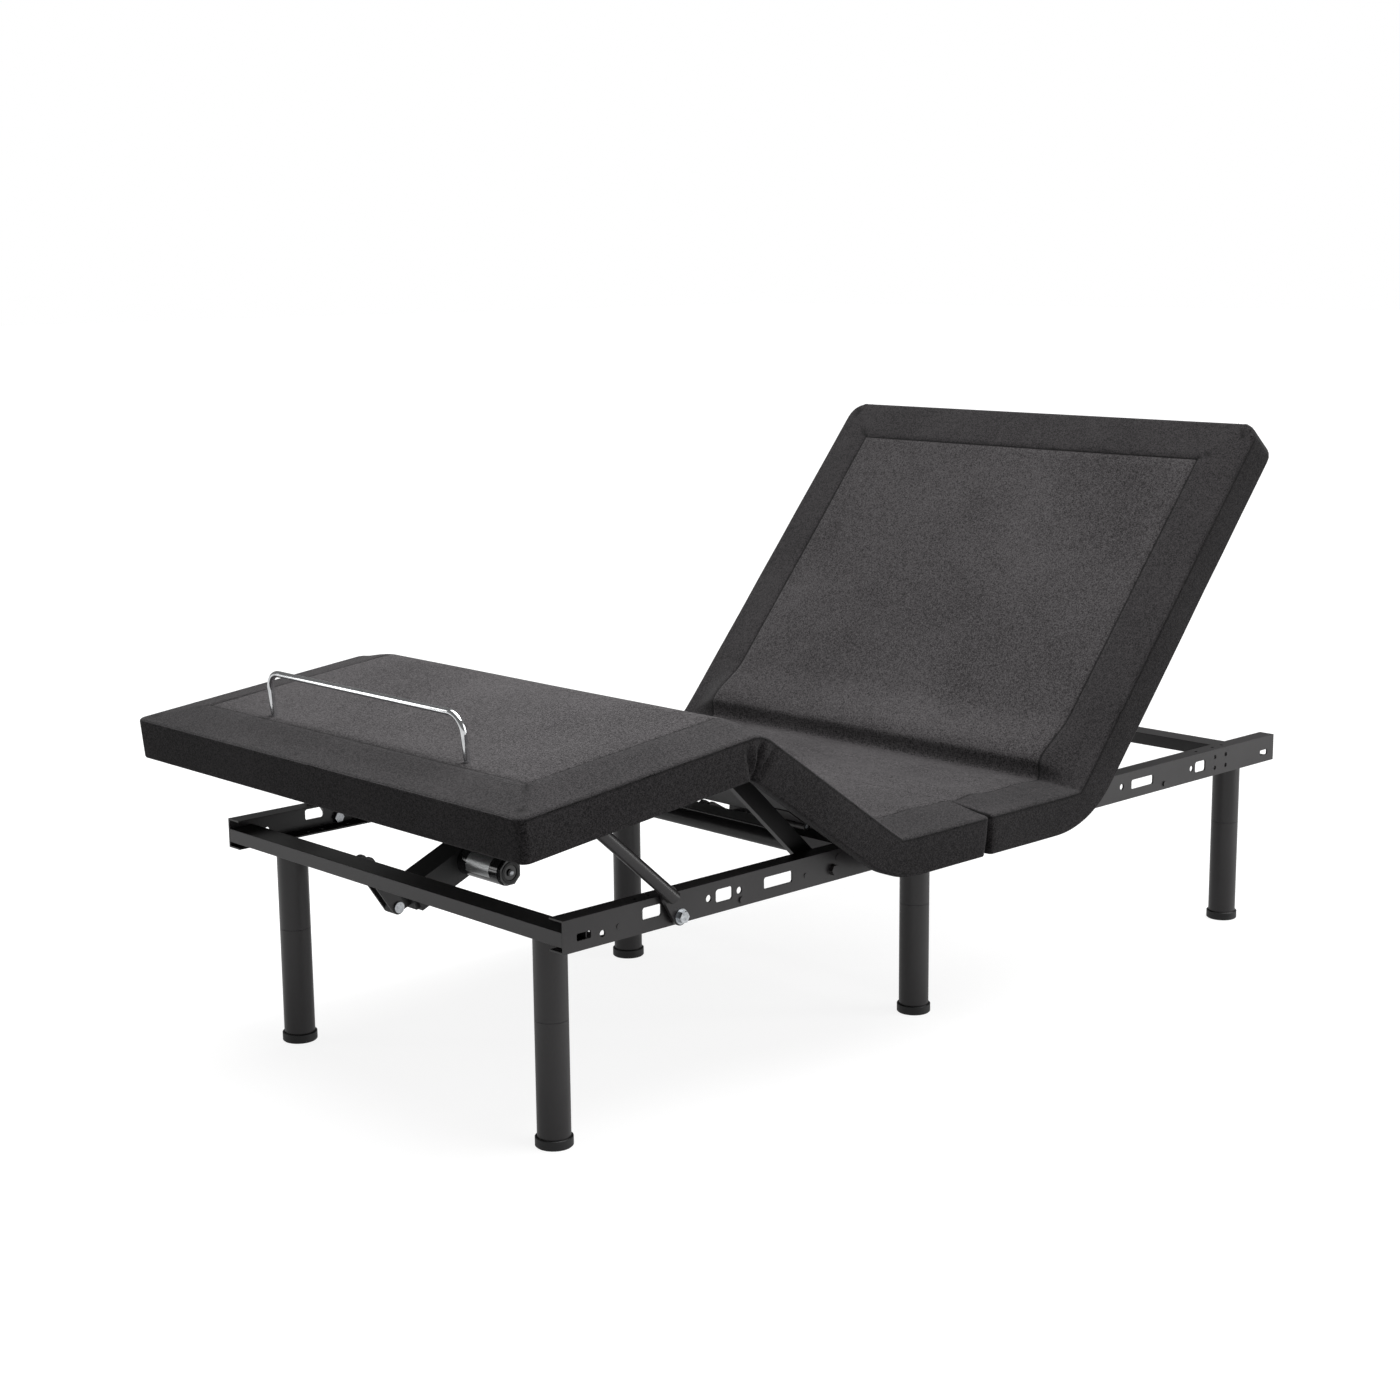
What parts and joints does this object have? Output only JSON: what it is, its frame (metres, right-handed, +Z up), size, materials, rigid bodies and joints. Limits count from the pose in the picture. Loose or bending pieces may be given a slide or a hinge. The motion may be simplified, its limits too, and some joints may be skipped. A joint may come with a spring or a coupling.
{
  "type": "adjustable bed base",
  "caption": "Adjustable bed base: steel frame on round legs with an upholstered folding deck, lifted at back and legs by linear actuators.",
  "frame": {"origin": "on the floor, under the middle of the base's box with the panels raised as drawn", "axes": "+X from the foot to the head, +Y to the sleeper's right, +Z up"},
  "size_m": [1.86, 0.965, 0.9582],
  "materials": {
    "powder_coated_steel": "satin black powder coat",
    "zinc_plated_steel": "zinc plated",
    "retainer_chrome": "chrome plated",
    "black_plastic": "fine moulded grain",
    "motor_can": "gloss black",
    "charcoal_fabric": "plain weave",
    "panel_board": "raw particle board",
    "nylon": "black nylon",
    "light_lens": "frosted"
  },
  "bodies": {
    "frame": {"left_side_rail": "powder_coated_steel", "right_side_rail": "powder_coated_steel", "foot_cross_rail": "powder_coated_steel", "mid_cross_rail": "powder_coated_steel", "head_cross_rail": "powder_coated_steel", "rail_rivets": "powder_coated_steel", "leg_mount_plates": "powder_coated_steel", "leg_studs": "zinc_plated_steel", "upper_leg_tubes": "powder_coated_steel", "lower_leg_tubes": "powder_coated_steel", "leg_foot_caps": "black_plastic", "front_seat_board": "panel_board", "front_seat_padding": "charcoal_fabric", "rear_seat_board": "panel_board", "rear_seat_padding": "charcoal_fabric", "seat_board_bolts": "zinc_plated_steel", "seat_hinge_leaves": "powder_coated_steel", "seat_hinge_pins": "zinc_plated_steel", "strut_bolts": "zinc_plated_steel", "lift_pivot_bolts": "powder_coated_steel", "actuator_brackets": "powder_coated_steel", "actuator_rear_pins": "zinc_plated_steel", "control_box": "black_plastic", "power_supply": "black_plastic", "under_bed_light": "light_lens"},
    "calf": {"calf_board": "panel_board", "calf_padding": "charcoal_fabric", "calf_hinge_leaves": "powder_coated_steel", "strut_brackets": "powder_coated_steel", "foot_massage_motor": "black_plastic", "mattress_retainer_bar": "retainer_chrome", "retainer_bar_sockets": "black_plastic", "calf_roller_tracks": "nylon"},
    "thigh": {"thigh_board": "panel_board", "thigh_padding": "charcoal_fabric", "thigh_hinge_leaves": "powder_coated_steel", "knee_hinge_pins": "zinc_plated_steel"},
    "back": {"back_board": "panel_board", "back_padding": "charcoal_fabric", "back_hinge_leaves": "powder_coated_steel", "head_massage_motor": "black_plastic", "back_roller_tracks": "nylon"},
    "calf_struts": {"left_calf_strut": "powder_coated_steel", "right_calf_strut": "powder_coated_steel"},
    "leg_lift": {"leg_lift_arms": "powder_coated_steel", "leg_lift_torque_tube": "powder_coated_steel", "foot_horn_pin": "zinc_plated_steel"},
    "leg_lift_rollers": {"leg_lift_rollers": "nylon"},
    "head_lift": {"head_lift_arms": "powder_coated_steel", "head_lift_torque_tube": "powder_coated_steel", "head_horn_pin": "zinc_plated_steel"},
    "head_lift_rollers": {"head_lift_rollers": "nylon"},
    "foot_actuator": {"foot_actuator_gearbox": "black_plastic", "foot_actuator_motor": "motor_can", "foot_actuator_tube": "powder_coated_steel"},
    "foot_actuator_rod": {"foot_actuator_rod": "zinc_plated_steel"},
    "head_actuator": {"head_actuator_gearbox": "black_plastic", "head_actuator_motor": "motor_can", "head_actuator_tube": "powder_coated_steel"},
    "head_actuator_rod": {"head_actuator_rod": "zinc_plated_steel"}
  },
  "joints": [
    {"name": "back_hinge", "type": "hinge", "parent": "frame", "child": "back", "pos_m": [0.267, 0, 0.362], "axis": [0, -1, 0], "range_deg": [-49.5, 10.5]},
    {"name": "thigh_hinge", "type": "hinge", "parent": "frame", "child": "thigh", "pos_m": [-0.184, 0, 0.362], "axis": [0, 1, 0], "range_deg": [-35, 5]},
    {"name": "knee_hinge", "type": "hinge", "parent": "thigh", "child": "calf", "pos_m": [-0.48545, 0, 0.57308], "axis": [0, 1, 0], "range_deg": [-6, 41.3]},
    {"name": "strut_pivot", "type": "hinge", "parent": "frame", "child": "calf_struts", "pos_m": [-0.598, 0, 0.331], "axis": [0, 1, 0], "range_deg": [-45.7, 6.6]},
    {"name": "leg_lift_pivot", "type": "hinge", "parent": "frame", "child": "leg_lift", "pos_m": [-0.272, 0, 0.335], "axis": [0, 1, 0], "range_deg": [-43.2, 6.3]},
    {"name": "leg_roller_spin", "type": "hinge", "parent": "leg_lift", "child": "leg_lift_rollers", "pos_m": [-0.49446, 0, 0.54946], "axis": [0, 1, 0], "continuous": true},
    {"name": "head_lift_pivot", "type": "hinge", "parent": "frame", "child": "head_lift", "pos_m": [0.392, 0, 0.342], "axis": [0, -1, 0], "range_deg": [-65.3, 13.9]},
    {"name": "head_roller_spin", "type": "hinge", "parent": "head_lift", "child": "head_lift_rollers", "pos_m": [0.51993, 0, 0.61336], "axis": [0, 1, 0], "continuous": true},
    {"name": "foot_actuator_pivot", "type": "hinge", "parent": "frame", "child": "foot_actuator", "pos_m": [-0.698, 0.125, 0.255], "axis": [0, -1, 0], "range_deg": [-7.3, 1.1]},
    {"name": "foot_actuator_stroke", "type": "slide", "parent": "foot_actuator", "child": "foot_actuator_rod", "axis": [0.9231, 0, 0.3845], "range_m": [-0.0516, 0.0075]},
    {"name": "head_actuator_pivot", "type": "hinge", "parent": "frame", "child": "head_actuator", "pos_m": [-0.088, 0, 0.31], "axis": [0, -1, 0], "range_deg": [-2.3, 0.6]},
    {"name": "head_actuator_stroke", "type": "slide", "parent": "head_actuator", "child": "head_actuator_rod", "axis": [0.998, 0, -0.0628], "range_m": [-0.0822, 0.0176]}
  ],
  "couplings": [
    {"joint": "knee_hinge", "follows": "thigh_hinge", "ratio": -1.1771},
    {"joint": "strut_pivot", "follows": "thigh_hinge", "ratio": 1.3029},
    {"joint": "leg_lift_pivot", "follows": "thigh_hinge", "ratio": 1.232},
    {"joint": "foot_actuator_pivot", "follows": "thigh_hinge", "ratio": 0.2062},
    {"joint": "foot_actuator_stroke", "follows": "thigh_hinge", "m_per_rad": 0.084374},
    {"joint": "head_lift_pivot", "follows": "back_hinge", "ratio": 1.318},
    {"joint": "head_actuator_pivot", "follows": "back_hinge", "ratio": 0.0447},
    {"joint": "head_actuator_stroke", "follows": "back_hinge", "m_per_rad": 0.094784}
  ]
}
